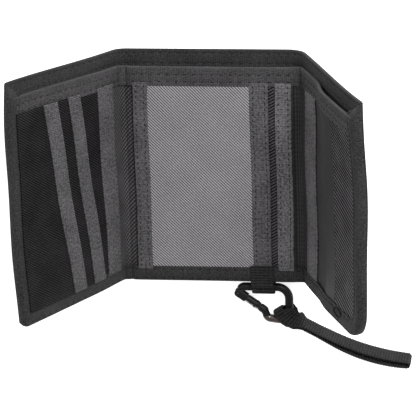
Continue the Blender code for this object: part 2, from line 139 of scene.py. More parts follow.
def cloth(
    name, dark, light, pattern, pitch, bump, roughness=0.85, sheen=0.03, mottle=0.35,
    wear=0.5, specular=0.25, turn=0, holes=None,
):
    """Woven cloth. dark and light are grey levels, and pattern is ribs, rows, plain, lines or mesh.
    pitch is its repeat and bump its depth in millimetres. mottle and wear are the shares of fine
    and broad unevenness. turn is the angle of the lines. holes gives the pattern's heights where
    it starts to close and where it is closed, and how closed it is below the first."""
    material = bpy.data.materials.new(name)
    material.use_nodes = True
    tree = material.node_tree
    nodes, links = tree.nodes, tree.links
    shader = nodes["Principled BSDF"]
    put(shader, {"Roughness": roughness, "Sheen Weight": sheen, "Sheen Roughness": 0.5})
    put(shader, {"Specular IOR Level": specular})

    place = nodes.new("ShaderNodeUVMap")
    place.uv_map = "Weave"

    def wave(angle, repeat):
        mapping = nodes.new("ShaderNodeMapping")
        put(mapping, {"Rotation": (0, 0, math.radians(angle))})
        links.new(place.outputs["UV"], mapping.inputs["Vector"])
        texture = nodes.new("ShaderNodeTexWave")
        texture.wave_type, texture.bands_direction = "BANDS", "X"
        # The texture repeats every 2 pi / 20 of its coordinate at scale 1.
        put(texture, {"Scale": 2 * math.pi / (20 * repeat), "Distortion": 0.35})
        put(texture, {"Detail": 1.0, "Detail Scale": 0.6})
        links.new(mapping.outputs["Vector"], texture.inputs["Vector"])
        return texture.outputs["Fac"]

    def combine(operation, a, b):
        node = nodes.new("ShaderNodeMath")
        node.operation = operation
        for socket, value in zip(node.inputs, (a, b)):
            if isinstance(value, float):
                socket.default_value = value
            else:
                links.new(value, socket)
        return node.outputs[0]

    def scaled(value, factor, plus=0.0):
        product = combine("MULTIPLY", value, factor)
        return combine("ADD", product, plus) if plus else product

    def noise_over(scale, detail):
        texture = nodes.new("ShaderNodeTexNoise")
        put(texture, {"Scale": scale, "Detail": detail})
        links.new(place.outputs["UV"], texture.inputs["Vector"])
        return texture

    if pattern in ("ribs", "rows"):
        main, minor = (90, 0) if pattern == "ribs" else (0, 90)
        height = combine(
            "ADD", scaled(wave(main, pitch), 0.75), scaled(wave(minor, pitch * 1.6), 0.25)
        )
    elif pattern == "plain":
        height = scaled(combine("ADD", wave(0, pitch), wave(90, pitch)), 0.5)
    elif pattern == "lines":
        crossing = scaled(wave(turn + 90, pitch * 0.9), 0.45, 0.55)
        height = combine("MULTIPLY", combine("POWER", wave(turn, pitch), 1.4), crossing)
    else:
        height = combine("MULTIPLY", wave(-42, pitch), scaled(wave(48, pitch), 0.6, 0.4))

    noise, worn = noise_over(0.9, 4.0), noise_over(0.07, 2.0)
    put(noise, {"Roughness": 0.65})
    fibres = nodes.new("ShaderNodeMapRange")
    put(fibres, {"From Min": 0.3, "From Max": 0.7})
    links.new(noise.outputs["Fac"], fibres.inputs["Value"])
    tone = combine("ADD", scaled(height, 1.0 - mottle), scaled(fibres.outputs["Result"], mottle))
    tone = combine("ADD", tone, scaled(combine("SUBTRACT", worn.outputs["Fac"], 0.5), wear))
    colours = nodes.new("ShaderNodeValToRGB")
    for end, at, level in zip(colours.color_ramp.elements, (0.15, 0.85), (dark, light)):
        end.position, end.color = at, (level, level * GREEN_SHARE, level, 1)
    links.new(tone, colours.inputs["Fac"])
    links.new(colours.outputs["Color"], shader.inputs["Base Color"])

    relief = nodes.new("ShaderNodeBump")
    put(relief, {"Strength": 0.6, "Distance": bump * MM})
    rough_height = combine("ADD", height, scaled(noise.outputs["Fac"], 0.6))
    links.new(rough_height, relief.inputs["Height"])
    links.new(relief.outputs["Normal"], shader.inputs["Normal"])
    if holes is not None:
        cover = nodes.new("ShaderNodeMapRange")
        put(cover, dict(zip(("From Min", "From Max", "To Min"), holes)))
        links.new(height, cover.inputs["Value"])
        links.new(cover.outputs["Result"], shader.inputs["Alpha"])
    return material


def metal(name, colour, roughness, metallic, specular):
    material = bpy.data.materials.new(name)
    material.use_nodes = True
    nodes, links = material.node_tree.nodes, material.node_tree.links
    shader = nodes["Principled BSDF"]
    put(shader, {"Metallic": metallic, "Specular IOR Level": specular})
    place = nodes.new("ShaderNodeTexCoord")
    noise = nodes.new("ShaderNodeTexNoise")
    put(noise, {"Scale": 900.0, "Detail": 3.0})
    links.new(place.outputs["Object"], noise.inputs["Vector"])
    colours = nodes.new("ShaderNodeValToRGB")
    for end, share in zip(colours.color_ramp.elements, (0.7, 1.3)):
        end.color = (*[c * share for c in colour], 1)
    links.new(noise.outputs["Fac"], colours.inputs["Fac"])
    links.new(colours.outputs["Color"], shader.inputs["Base Color"])
    rough = nodes.new("ShaderNodeMapRange")
    put(rough, {"To Min": roughness * 0.8, "To Max": roughness * 1.3})
    links.new(noise.outputs["Fac"], rough.inputs["Value"])
    links.new(rough.outputs["Result"], shader.inputs["Roughness"])
    relief = nodes.new("ShaderNodeBump")
    put(relief, {"Strength": 0.15, "Distance": 0.05 * MM})
    links.new(noise.outputs["Fac"], relief.inputs["Height"])
    links.new(relief.outputs["Normal"], shader.inputs["Normal"])
    return material


SHELL_NYLON = cloth("shell_nylon", 0.006, 0.028, "plain", 0.8, 0.12)
LINING = cloth("lining", 0.010, 0.040, "rows", 1.3, 0.1)
FOLD_LINING = cloth("fold_lining", 0.008, 0.085, "mesh", 1.3, 0.12, mottle=0.2)
SATIN = cloth("satin_lining", 0.014, 0.032, "rows", 0.5, 0.03, roughness=0.6, mottle=0.25)
TAPE = cloth("pocket_tape", 0.018, 0.112, "ribs", 0.8, 0.18, mottle=0.75)
LIGHT_TAPE = cloth("light_tape", 0.028, 0.175, "ribs", 0.8, 0.18, mottle=0.75)
TOP_TAPE = cloth("top_tape", 0.011, 0.068, "ribs", 0.8, 0.18, mottle=0.7)
EDGE_TAPE = cloth("edge_tape", 0.003, 0.040, "ribs", 0.8, 0.2, mottle=0.75)
DARK_MESH = cloth(
    "pocket_mesh", 0.0005, 0.026, "lines", 1.0, 0.25,
    roughness=0.75, sheen=0.0, mottle=0.3, specular=0.12, turn=57,
)
GAP_MESH = cloth(
    "gap_mesh", 0.0005, 0.085, "lines", 1.25, 0.25,
    roughness=0.5, sheen=0.0, mottle=0.3, specular=0.12, turn=60,
)
HATCH_MESH = cloth(
    "coin_mesh", 0.0005, 0.15, "lines", 1.8, 0.35,
    roughness=0.7, sheen=0.0, mottle=0.15, specular=0.1, turn=-72,
)
WINDOW_MESH = cloth(
    "window_mesh", 0.10, 0.37, "lines", 1.0, 0.1,
    roughness=0.5, mottle=0.2, wear=0.22, turn=-45, holes=(0.02, 0.2, 0.65),
)
WEBBING = cloth("webbing", 0.002, 0.030, "rows", 1.25, 0.3, mottle=0.5, specular=0.12)
THREAD = cloth("thread", 0.002, 0.008, "ribs", 0.4, 0.05)
THREAD_LIGHT = cloth("thread_light", 0.03, 0.11, "ribs", 0.4, 0.05)
HOOK_BLACK = metal("hook_black", (0.006, 0.0055, 0.0055), 0.45, 0.0, 0.22)
HOOK_WORN = metal("hook_worn", (0.13, 0.112, 0.106), 0.25, 1.0, 0.5)
# A light grey metal for a painted reflection of the bright surroundings along one flank of the
# black gate.
HOOK_PAINTED_REFLECTION = metal("hook_painted_reflection", (0.40, 0.385, 0.375), 0.38, 1.0, 0.5)
STEEL = metal("steel", (0.10, 0.09, 0.09), 0.25, 1.0, 0.5)


# ---------- the folded section
def smooth(x):
    x = np.clip(x, 0.0, 1.0)
    return x * x * (3 - 2 * x)


def ramp(x, start, over):
    """From 0 at start to 1 after the distance over, without corners."""
    return smooth((x - start) / over)


class Side:
    """Half of the wallet seen from its end. t runs outwards from the middle, and sign mirrors x.
    The fold's axis is at axis_x, and hinge is the radius of the shell's back round it. foot is
    where the bend ends on the wing, and rest is the wing's angle. hug pulls the liner to the shell
    at the fold, crease presses it in, and gape is how far it stands off at the top. notches are
    where the liner's binding is pinched, and how deep."""

    def __init__(self, body, sign, axis_x, hinge, foot, rest, width, hug, crease, gape, notches):
        self.body, self.sign, self.axis_x, self.hinge = body, sign, axis_x, hinge
        self.width, self.foot, self.gape, self.notches = width, foot, gape, notches
        self.rest = math.radians(rest)
        self.arc = hinge * self.rest
        self.shift = axis_x + self.arc - foot
        self.end = self.shift + width
        self.steps = np.linspace(0.0, self.end + 3.0, 1500)
        self.liner_x, self.liner_z = self.liner_line(hug, crease)
        dx, dz = np.gradient(self.liner_x), np.gradient(self.liner_z)
        size = np.hypot(dx, dz)
        self.liner_nx, self.liner_nz = -dz / size, dx / size

    def wing(self, u, n):
        """A point of the wing at distance u from the line where the panels' backs would meet."""
        x = HALF_CENTRE + u * math.cos(self.rest) - n * math.sin(self.rest)
        return x, u * math.sin(self.rest) + n * math.cos(self.rest)

    def back(self, t, n):
        """A point at height n over the shell's back face."""
        a = np.clip((t - self.axis_x) / self.hinge, 0.0, self.rest)
        far = np.maximum(0.0, t - self.axis_x - self.arc)
        x = np.minimum(t, self.axis_x) + self.hinge * np.sin(a) + far * math.cos(self.rest)
        z = self.hinge * (1 - np.cos(a)) + far * math.sin(self.rest)
        return x - n * np.sin(a), z + n * np.cos(a)

    def liner_line(self, hug, crease):
        """The liner's middle: flat over the centre, along a curve at the fold, and up the wing."""
        bend_start, foot_u, crease_at, crease_width = 36.0, 7.0, 37.4, 0.7
        hug_until, hug_fade = 24.0, 20.0
        u = self.steps - self.shift
        n = WING_LINER - hug * (1 - ramp(u, hug_until, hug_fade))
        wing_x, wing_z = self.wing(u, n)
        x, z = self.steps.copy(), np.full_like(self.steps, CENTRE_LINER)
        on_wing = u > foot_u
        x[on_wing], z[on_wing] = wing_x[on_wing], wing_z[on_wing]
        bend_end = self.shift + foot_u
        inside = (self.steps > bend_start) & ~on_wing
        corner_u = (CENTRE_LINER - WING_LINER * math.cos(self.rest)) / math.sin(self.rest)
        corner = self.wing(corner_u, WING_LINER - hug)
        start = (bend_start, CENTRE_LINER)
        end = [np.interp(bend_end, self.steps, line) for line in (wing_x, wing_z)]
        k = (self.steps[inside] - bend_start) / (bend_end - bend_start)
        w0, w1, w2 = (1 - k) ** 3, 3 * k * (1 - k), k**3
        x[inside], z[inside] = (a * w0 + c * w1 + b * w2 for a, c, b in zip(start, corner, end))
        z -= crease * np.exp(-(((self.steps - crease_at) / crease_width) ** 2))
        window = 9
        return [
            np.convolve(
                np.pad(line, window // 2, mode="reflect", reflect_type="odd"),
                np.ones(window) / window, "valid",
            )
            for line in (x, z)
        ]

    def liner(self, t, y, n):
        """A point at height n over the liner's middle, which stands off the shell near its top."""
        lines = (self.liner_x, self.liner_z, self.liner_nx, self.liner_nz)
        x, z, nx, nz = (np.interp(t, self.steps, line) for line in lines)
        n = n + self.stand_off(t - self.shift, y)
        return x + n * nx, z + n * nz

    def stand_off(self, u, y):
        """The liner's distance from where it would lie: widest at the top, held at both sides."""
        off_fold = ramp(u, 28.0, 18.0)
        near_edge = ramp(u - self.width, -9.0, 9.0)
        return self.gape * (off_fold * (1 - near_edge * 0.55)) * ramp(y, -10.0, 55.0)


LEFT = Side(
    "left_wing", -1, axis_x=37.3272, hinge=7.0, foot=4.173, rest=61.6, width=76.0,
    hug=0.0, crease=0.7, gape=0.0, notches=((36.8, 1.0), (45.0, 0.4)),
)
RIGHT = Side(
    "right_wing", 1, axis_x=35.1319, hinge=9.75, foot=6.368, rest=66.3, width=84.0,
    hug=1.7, crease=0.0, gape=1.05, notches=((28.0, 1.0), (37.9, 1.0), (45.0, 0.4)),
)


def soften(points):
    """The way the made wallet stands, and its small unevenness: every layer moves alike."""
    left_bow, left_lean, right_bow, right_sag = 1.7, 0.9, 1.8, 2.4
    foot_lift, ripple = 0.8, 0.25
    x, y, z = points[:, 0], points[:, 1], points[:, 2]
    out = points.copy()
    up_wing = ramp(z, 6.0, 62.0)
    left, right = up_wing * (x < 0), up_wing * (x > 0)
    bow = 1 - (y / 58.0) ** 2
    out[:, 0] += right * right_bow * bow
    out[:, 0] -= left * (left_bow * bow + left_lean * ramp(y, -20.0, 70.0))
    out[:, 1] += left * (0.6 + 1.2 * y / TOP) - right * right_sag * ramp(y, -10.0, 60.0)
    out[:, 1] += foot_lift * ramp(-y, 30.0, 24.0) * (1 - ramp(z, 4.0, 20.0)) * (y > -56.0)
    out[:, 2] += ripple * np.sin(x / 17.0 + 1.0) * np.sin(y / 23.0) * ramp(z, -1.0, 6.0)
    out[:, 0] += ripple * ramp(z, 2.0, 10.0) * np.sin(y / 9.0 + np.abs(x) / 11.0)
    return out


def stack(x, y, z):
    return np.stack(np.broadcast_arrays(x, y, z), axis=-1).astype(float)


def over_back(side):
    """A function of (t, y, n), where n is the height over the shell's back."""

    def place(t, y, n):
        x, z = side.back(t, n)
        return stack(side.sign * x, y, z)

    return place


def over_liner(side, start=0.0):
    """The same over the liner's middle, with t counted from start."""

    def place(t, y, n):
        x, z = side.liner(t + start, y, n)
        return stack(side.sign * x, y, z)

    return place


def over_wing(side):
    """The same, where t is the distance from the line where the panels' backs would meet."""
    return over_liner(side, side.shift)


def over_centre(t, y, n):
    """The same over the centre's liner, where t is the real x."""
    return stack(t, y, CENTRE_LINER + n)


# ---------- mesh makers
def mesh_object(name, vertices, faces, uvs, material, still=False):
    """A piece from points in millimetres. uvs holds one pair per vertex, also in millimetres.
    The leash keeps still: it doesn't share the wallet's unevenness."""
    vertices = np.asarray(vertices, float)
    vertices = (vertices if still else soften(vertices)) * MM
    faces = np.asarray(faces)
    mesh = bpy.data.meshes.new(name)
    mesh.from_pydata(vertices.tolist(), [], faces.tolist())
    layer = mesh.uv_layers.new(name="Weave")
    layer.data.foreach_set("uv", np.asarray(uvs, np.float32)[faces.ravel()].ravel())
    mesh.validate()
    shape = bmesh.new()
    shape.from_mesh(mesh)
    bmesh.ops.remove_doubles(shape, verts=shape.verts, dist=2e-6)
    bmesh.ops.dissolve_degenerate(shape, edges=shape.edges, dist=1e-6)
    bmesh.ops.recalc_face_normals(shape, faces=shape.faces)
    shape.to_mesh(mesh)
    shape.free()
    mesh.shade_smooth()
    mesh.set_sharp_from_angle(angle=math.radians(50))
    mesh.materials.append(material)
    obj = bpy.data.objects.new(name, mesh)
    bpy.context.scene.collection.objects.link(obj)
    return obj


def cut_to(piece, length):
    """Returns the piece unchanged. length is not used."""
    return piece


def pair(edge):
    """An edge as its (bottom, top) distances."""
    return edge if isinstance(edge, tuple) else (edge, edge)


def ticks(a, b, step, soft):
    """Grid lines from a to b, closer together in the rounded rim, which is soft wide."""
    inner = np.linspace(a + soft, b - soft, max(2, round((b - a - 2 * soft) / step) + 1))
    curl = soft * (1 - np.cos(np.linspace(0, math.pi / 2, 4)[:-1]))
    return np.concatenate([a + curl, inner, b - curl[::-1]])


def rim(values, soft):
    """The share of the full thickness at each grid line."""
    d = np.minimum(values - values[0], values[-1] - values)
    k = np.clip(d / soft, 0.0, 1.0)
    return np.sqrt(np.maximum(0.0, 1 - (1 - k) ** 2))


def slab(name, place, t_range, y_range, low, high, material, step, soft=0.3, lower=None):
    """A closed layer of cloth between the heights low and high, with a rounded rim. Each end of
    t_range is one distance, or a (bottom, top) pair. lower(t) gives a rounded bottom edge."""
    (left_low, left_high), (right_low, right_high) = map(pair, t_range)
    bottom, top = y_range
    ts = ticks(0.0, (right_low + right_high - left_low - left_high) / 2, step[0], soft)
    vs = ticks(bottom, top, step[1], soft)
    t, y = np.meshgrid(ts, vs, indexing="ij")
    up = (y - bottom) / (top - bottom)
    starts = left_low + (left_high - left_low) * up
    ends = right_low + (right_high - right_low) * up
    t = starts + t / ts[-1] * (ends - starts)
    if lower is not None:
        y = lower(t) + up * (top - lower(t))
    swell = (high - low) / 2 * np.outer(rim(ts, soft), rim(vs, soft))
    front, back = (place(t, y, (low + high) / 2 + s * swell).reshape(-1, 3) for s in (1, -1))
    index = np.arange(t.size).reshape(t.shape)
    quads = [index[:-1, :-1], index[1:, :-1], index[1:, 1:], index[:-1, 1:]]
    quads = np.stack(quads, -1).reshape(-1, 4)
    faces = np.concatenate([quads, quads[:, ::-1] + t.size])
    uv = np.stack([t.ravel(), y.ravel()], -1)
    points, uvs = np.concatenate([front, back]), np.concatenate([uv, uv])
    return cut_to(mesh_object(name, points, faces, uvs, material), top - bottom)


def swept(name, rings, uvs, material, caps=True, still=False):
    """A surface through rings of points: rings is (stations, profile, 3)."""
    rings = np.asarray(rings, float)
    stations, count = rings.shape[:2]
    index = np.arange(stations * count).reshape(stations, count)
    after = np.roll(index, -1, axis=1)
    faces = np.stack([index[:-1], index[1:], after[1:], after[:-1]], -1).reshape(-1, 4).tolist()
    if caps:
        for row, flip in ((index[0], False), (index[-1], True)):
            for i in range(count // 2 - 1):
                quad = [row[i], row[i + 1], row[count - 2 - i], row[count - 1 - i]]
                faces.append(quad[::-1] if flip else quad)
    uvs = np.asarray(uvs, float).reshape(-1, 2)
    return mesh_object(name, rings.reshape(-1, 3), faces, uvs, material, still)


def c_profile(width, tape, wrap):
    """The tape's two skins round an edge, as (distance in from the edge, share from back to front,
    height over the skin). tape is its thickness, and wrap is how far in its round starts."""
    outer = [(d, 0.0, tape) for d in np.linspace(width, wrap, 16)]
    for a in np.linspace(0, math.pi, 11)[1:-1]:
        share = (1 - math.cos(a)) / 2
        over = tape * math.cos(a) if share < 0.5 else -tape * math.cos(a)
        outer.append((wrap - (wrap + tape) * math.sin(a) ** 0.7, share, over))
    outer += [(d, 1.0, tape) for d in np.linspace(wrap, width, 16)]
    inner = [(max(d, 0.0) + 0.35 if d < width - 0.1 else d, share, 0.0) for d, share, _ in outer]
    return outer, inner


# An edge path is a list of stations. Each has its inward direction, and either a point on a
# straight run or the corner, middle and radius of a rounded one.
def straight(a, b, inward, step):
    count = max(1, round(math.dist(a, b) / step))
    points = [[p + (q - p) * i / count for p, q in zip(a, b)] for i in range(count + 1)]
    return [dict(point=point, inward=inward, radius=None) for point in points]


def corner(at, first, second, radius, parts):
    """Round a corner: first and second are the inward directions of the runs it joins."""
    both = (first[0] + second[0], first[1] + second[1])
    middle = (at[0] + both[0] * radius, at[1] + both[1] * radius)
    out = []
    for i in range(parts + 1):
        a = math.pi / 2 * i / parts
        inward = [f * math.cos(a) + s * math.sin(a) for f, s in zip(first, second)]
        out.append(dict(corner=at, middle=middle, inward=inward, both=both, radius=radius))
    return out


def inset(station, d):
    """The point at distance d in from the edge. Past a round it keeps to the corner's diagonal."""
    d = d * station.get("scale", 1.0) if d > 0 else d
    inward, radius = station["inward"], station["radius"]
    if radius is None:
        start, way, reach = station["point"], inward, d
    elif d <= radius:
        start, way, reach = station["middle"], inward, d - radius
    else:
        start, way, reach = station["corner"], station["both"], d
    return start[0] + way[0] * reach, start[1] + way[1] * reach


def dips(x, marks, spread):
    """The depth at x of grooves, each (where, depth)."""
    return sum(depth * math.exp(-(((x - at) / spread) ** 2)) for at, depth in marks)


def edge_tape(name, path, skin, width, tape, wrap, material, seams=(), notches=()):
    """A tape folded over an edge. skin(t, y, share, over) gives the point between the back and
    front skins. seams are the distances in from the edge of its stitched grooves, and notches the
    places along it where it is pinched."""
    outer, inner = c_profile(width, tape, wrap)
    seam_depth, seam_spread, notch_spread = 0.22, 0.45, 0.55
    grooves = [(at, seam_depth) for at in seams]
    outer = [
        (d, f, over - dips(d, grooves, seam_spread) * (f in (0.0, 1.0))) for d, f, over in outer
    ]
    rings, uvs = [], []
    run, last = 0.0, inset(path[0], 0.0)
    for station in path:
        here = inset(station, 0.0)
        run += math.dist(here, last)
        last = here
        ring = []
        for d, share, over in outer + inner[::-1]:
            t, y = inset(station, d)
            pinch = dips(t, notches, notch_spread) * (share > 0.5)
            ring.append(skin(t, y, share, over - pinch))
        rings.append(ring)
        uvs.append([(i * 0.9, run) for i in range(len(ring))])
    points = np.array(rings)[:, : len(outer)]
    return cut_to(swept(name, rings, uvs, material), run)


def shell_skin(side):
    """From the shell's back to its front."""

    def skin(t, y, f, over):
        x, z = side.back(np.float64(t), -over + (SHELL + 2 * over) * f)
        return side.sign * x, y, z

    return skin


def front_height(t):
    """Height of the bound layers over the liner's middle: they are thicker over the centre."""
    centre, wing = CENTRE_STACK - CENTRE_LINER, WING_STACK - WING_LINER
    return centre + (wing - CENTRE_STACK + CENTRE_LINER) * ramp(t, 33.0, 12.0)


def stack_skin(side):
    """From the shell's back to the liner's front, or above the liner to the shell's own front."""

    def skin(t, y, f, over):
        t = np.float64(t)
        xb, zb = side.back(t, -over)
        xf, zf = side.liner(t, y, front_height(t) + over)
        xs, zs = side.back(t, SHELL + over)
        w = ramp(y, LINER_TOP, 5.5)
        xf, zf = xf + (xs - xf) * w, zf + (zs - zf) * w
        return side.sign * (xb + (xf - xb) * f), y, zb + (zf - zb) * f

    return skin


def liner_skin(side):
    """From the liner's back to the front of the layers that are sewn to it."""

    def skin(t, y, f, over):
        t = np.float64(t)
        n = -LINER_HALF - over + (LINER_HALF + front_height(t) + 2 * over) * f
        x, z = side.liner(t, y, n)
        return side.sign * x, y, z

    return skin


# ---------- stitching
def stitches(name, runs, material, pitch=2.5, length=1.55, thick=0.2):
    """Thread along straight runs, each (place, start, end) with (t, y, n) ends: short bars with
    their ends sunk in."""
    vertices, faces, uvs = [], [], []
    stations, sides = 5, 6
    lift = np.array((0, 0, 0.5))
    for place, start, end in runs:

        def point(at):
            return place(*[np.float64(c) for c in at]).reshape(3)

        start, end = np.array(start, float), np.array(end, float)
        span = np.linalg.norm((end - start)[:2])
        count = max(1, int(span / pitch))
        step = (end - start) / span
        for k in range(count):
            middle = start + step * (k + 0.5) * span / count
            a, b = point(middle - step * length / 2), point(middle + step * length / 2)
            along, up = b - a, point(middle + lift) - point(middle)
            along, up = along / np.linalg.norm(along), up / np.linalg.norm(up)
            across = np.cross(along, up)
            base = len(vertices)
            for share in np.linspace(0, 1, stations):
                swell = math.sin(math.pi * share)
                centre = a + (b - a) * share + up * (swell - 0.55) * thick
                r = thick * (0.45 + 0.55 * swell)
                for angle in 2 * math.pi * np.arange(sides) / sides:
                    spoke = across * math.cos(angle) + up * math.sin(angle)
                    vertices.append(centre + spoke * r)
                    uvs.append((share * length, angle * r))
            for j in range(stations - 1):
                for i in range(sides):
                    p, q = base + j * sides + i, base + j * sides + (i + 1) % sides
                    faces.append((p, q, q + sides, p + sides))
            last = base + (stations - 1) * sides
            faces += [[base + i for i in quad] for quad in ((0, 3, 2, 1), (0, 5, 4, 3))]
            faces += [[last + i for i in quad] for quad in ((0, 1, 2, 3), (0, 3, 4, 5))]
    return mesh_object(name, vertices, faces, uvs, material)


# ---------- the shell, liner and bindings
LEFT_CORNER, RIGHT_CORNER = 2.5, 11.0  # radii of the wings' lower outer corners


def rounded_foot(side, radius, edge):
    def lower(t):
        over = np.clip(t - (side.end - radius), 0.0, radius - 0.01)
        return edge + radius - np.sqrt(radius**2 - over**2)

    return lower


def make_side(side, label, radius):
    """The shell, the liner and the three bindings of one half. The left half stands for the
    centre panel's nodes too."""
    inner_in, down, up = (-1.0, 0.0), (0.0, -1.0), (0.0, 1.0)
    top_radius, inside, liner_edge = 1.2, 1.0, -TOP + 1.0
    shell = slab(
        f"shell_{label}", over_back(side), (0.0, side.end), (-TOP, TOP), 0.0, SHELL, SHELL_NYLON,
        (1.6, 4.0), 0.3, rounded_foot(side, radius, -TOP),
    )
    liner = slab(
        f"liner_{label}", over_liner(side), (0.0, side.end - inside), (liner_edge, LINER_TOP),
        -LINER_HALF, LINER_HALF, FOLD_LINING if side is LEFT else LINING,
        (1.2, 4.0), 0.25, rounded_foot(side, radius, liner_edge),
    )

    top_corner = corner((side.end, TOP), down, inner_in, top_radius, 4)
    top_path = straight((0.0, TOP), (side.end - top_radius, TOP), down, 1.5) + top_corner[:3]
    shell_top = edge_tape(
        f"shell_top_binding_{label}", top_path, shell_skin(side), BINDING, 0.3, 0.5, EDGE_TAPE,
        SHELL_SEAMS,
    )
    edge_path = corner((side.end, TOP), down, inner_in, top_radius, 4)[2:]
    edge_path += straight(
        (side.end, TOP - top_radius), (side.end, -TOP + radius), inner_in, 3.0
    )[1:]
    for station in edge_path:
        station["scale"] = SIDE_SHARE
    turn = corner((side.end, -TOP), inner_in, up, radius, 10)[1:]
    for i, station in enumerate(turn):
        station["scale"] = SIDE_SHARE + (1 - SIDE_SHARE) * i / (len(turn) - 1)
    edge_path += turn + straight((side.end - radius, -TOP), (0.0, -TOP), up, 1.5)[1:]
    edge = edge_tape(
        f"edge_binding_{label}", edge_path, stack_skin(side), BINDING, 0.3, 1.6, EDGE_TAPE,
        EDGE_SEAMS,
    )
    liner_top = edge_tape(
        f"liner_top_binding_{label}",
        straight((0.0, LINER_TOP), (side.end - 2.0, LINER_TOP), down, 1.5),
        liner_skin(side), LINER_BINDING, 0.25, 0.7, TOP_TAPE, LINER_SEAMS, side.notches,
    )

    tape = "binding_tape"
    for piece, centre_node, wing_nodes, slot, held, rests_on in (
        (shell, "centre_shell", ("shell", "fold_shell"), "shell_nylon", "laid", ()),
        (liner, "centre_liner", ("liner", "fold_liner"), "liner_nylon", "stretched", ()),
        (shell_top, "centre_shell_top_binding", ("shell_top_binding",), tape, "folded", (shell,)),
        (edge, "centre_bottom_binding", ("bottom_binding", "edge_binding"), tape, "folded",
         (shell, liner)),
        (liner_top, "centre_liner_top_binding", ("liner_top_binding",), tape, "folded", (liner,)),
    ):
        nodes = [centre_node] if side is LEFT else []
        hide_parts(*nodes, *(f"{label}_{node}" for node in wing_nodes))
        [other.name for other in rests_on]
    return shell, liner, shell_top, edge, liner_top


def across(side, *pieces):
    """Bakes each piece's transform into its mesh."""
    x, z = side.wing(side.foot + 0.5, 0.5)
    start, end = (side.sign * side.axis_x * MM, 0, 0), (side.sign * x * MM, 0, z * MM)
    for piece in pieces:
        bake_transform(piece)
        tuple(start)
        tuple(end)


make_camera()
make_studio()
left_pieces = make_side(LEFT, "left", LEFT_CORNER)
right_pieces = make_side(RIGHT, "right", RIGHT_CORNER)


# ---------- pockets
def carry(piece, body, node):
    """Puts a piece on its body, in the place of its node."""
    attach(piece, body)
    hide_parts(node)
    return piece


def pocket_piece(place, body, node, t_range, low, high, material, slot):
    y_range = (POCKET_BOTTOM, POCKET_TOP)
    piece = slab(node + "_cloth", place, t_range, y_range, low, high, material, (2.0, 3.0))
    return carry(piece, body, node)


def centre_piece(node, *options):
    return pocket_piece(over_centre, "centre", node, *options)


def wing_piece(side, node, *options):
    return pocket_piece(over_wing(side), side.body, node, *options)


SLIP_TAPE, WINDOW_TAPE, MOUTH_TAPE = (30.0, 37.3), (-34.0, -27.3), (18.7, 27.1)
slip_pocket = centre_piece("slip_pocket", (-34.0, 37.0), 0.65, 1.0, GAP_MESH, "pocket_mesh")
slip_tape = centre_piece("slip_pocket_tape", SLIP_TAPE, 1.1, 1.9, LIGHT_TAPE, "binding_tape")
window_tape = centre_piece("id_window_left_tape", WINDOW_TAPE, 1.1, 1.9, TAPE, "binding_tape")
window = centre_piece("id_window_mesh", (-27.6, 19.0), 1.25, 1.55, WINDOW_MESH, "window_mesh")
mouth_tape = centre_piece("id_window_mouth_tape", MOUTH_TAPE, 1.15, 1.95, TAPE, "binding_tape")

# A card pocket's mouth leans: each edge of its tape is a (bottom, top) pair of distances.
CARD_TAPES = (
    ((34.2, 47.4), (42.6, 56.2)),
    ((20.1, 32.5), (28.0, 40.1)),
    ((8.4, 10.0), (17.2, 20.6)),
)
for number, tape in enumerate(CARD_TAPES, 1):
    name = f"card_pocket_{number}"
    low = 2.1 - 0.5 * number
    reach = (tape[1], 73.1 - 0.1 * number)
    pocket = wing_piece(LEFT, name, reach, low, low + 0.4, DARK_MESH, "pocket_mesh")
    hem = wing_piece(LEFT, name + "_tape", tape, low + 0.1, low + 0.85, TAPE, "binding_tape")

FOLD_TRIM, COIN_HEM, COIN_POCKET = (11.3, (24.6, 25.4)), ((40.0, 44.6), 52.6), (52.4, 80.0)
for options in (
    ("fold_trim_tape", FOLD_TRIM, 0.5, 1.1, LIGHT_TAPE, "binding_tape"),
    ("coin_pocket_hem", COIN_HEM, 0.4, 0.75, SATIN, "binding_tape"),
    ("coin_pocket", COIN_POCKET, 0.45, 0.85, HATCH_MESH, "pocket_mesh"),
):
    wing_piece(RIGHT, *options)


def tape_rows(place, edges, n, inside=1.5):
    """Two stitched rows along a tape, that far inside its edges."""
    start, end = POCKET_BOTTOM + 1.0, POCKET_TOP - 0.5
    rows = []
    for (low, high), shift in zip(map(pair, edges), (inside, -inside)):
        rows.append((place, (low + shift, start, n), (high + shift, end, n)))
    return rows


centre_runs = []
for edges, n in ((WINDOW_TAPE, 1.85), (MOUTH_TAPE, 1.9), (SLIP_TAPE, 1.85)):
    centre_runs += tape_rows(over_centre, edges, n)
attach(stitches("centre_tape_stitching", centre_runs, THREAD), "centre")

left_runs = []
for number, edges in enumerate(CARD_TAPES, 1):
    left_runs += tape_rows(over_wing(LEFT), edges, 2.9 - 0.5 * number, inside=1.2)
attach(stitches("left_tape_stitching", left_runs, THREAD_LIGHT), "left_wing")

right_runs = tape_rows(over_wing(RIGHT), FOLD_TRIM, 1.05, inside=1.6)
right_runs.append((over_wing(RIGHT), (53.2, -46.0, 0.9), (53.2, 38.0, 0.9)))
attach(stitches("right_tape_stitching", right_runs, THREAD_LIGHT), "right_wing")


def front_of(side):
    """A function of (t, y, n), where n is the height over the front of the bound layers."""

    def place(t, y, n):
        x, z = side.liner(t, y, front_height(t) + n)
        return stack(side.sign * x, y, z)

    return place


def long_runs(place, t_end, y, n):
    """A row that follows the section from the middle outwards, in short straight runs."""
    marks = np.linspace(0.0, t_end, 29)
    return [(place, (a, y, n), (b, y, n)) for a, b in zip(marks, marks[1:])]


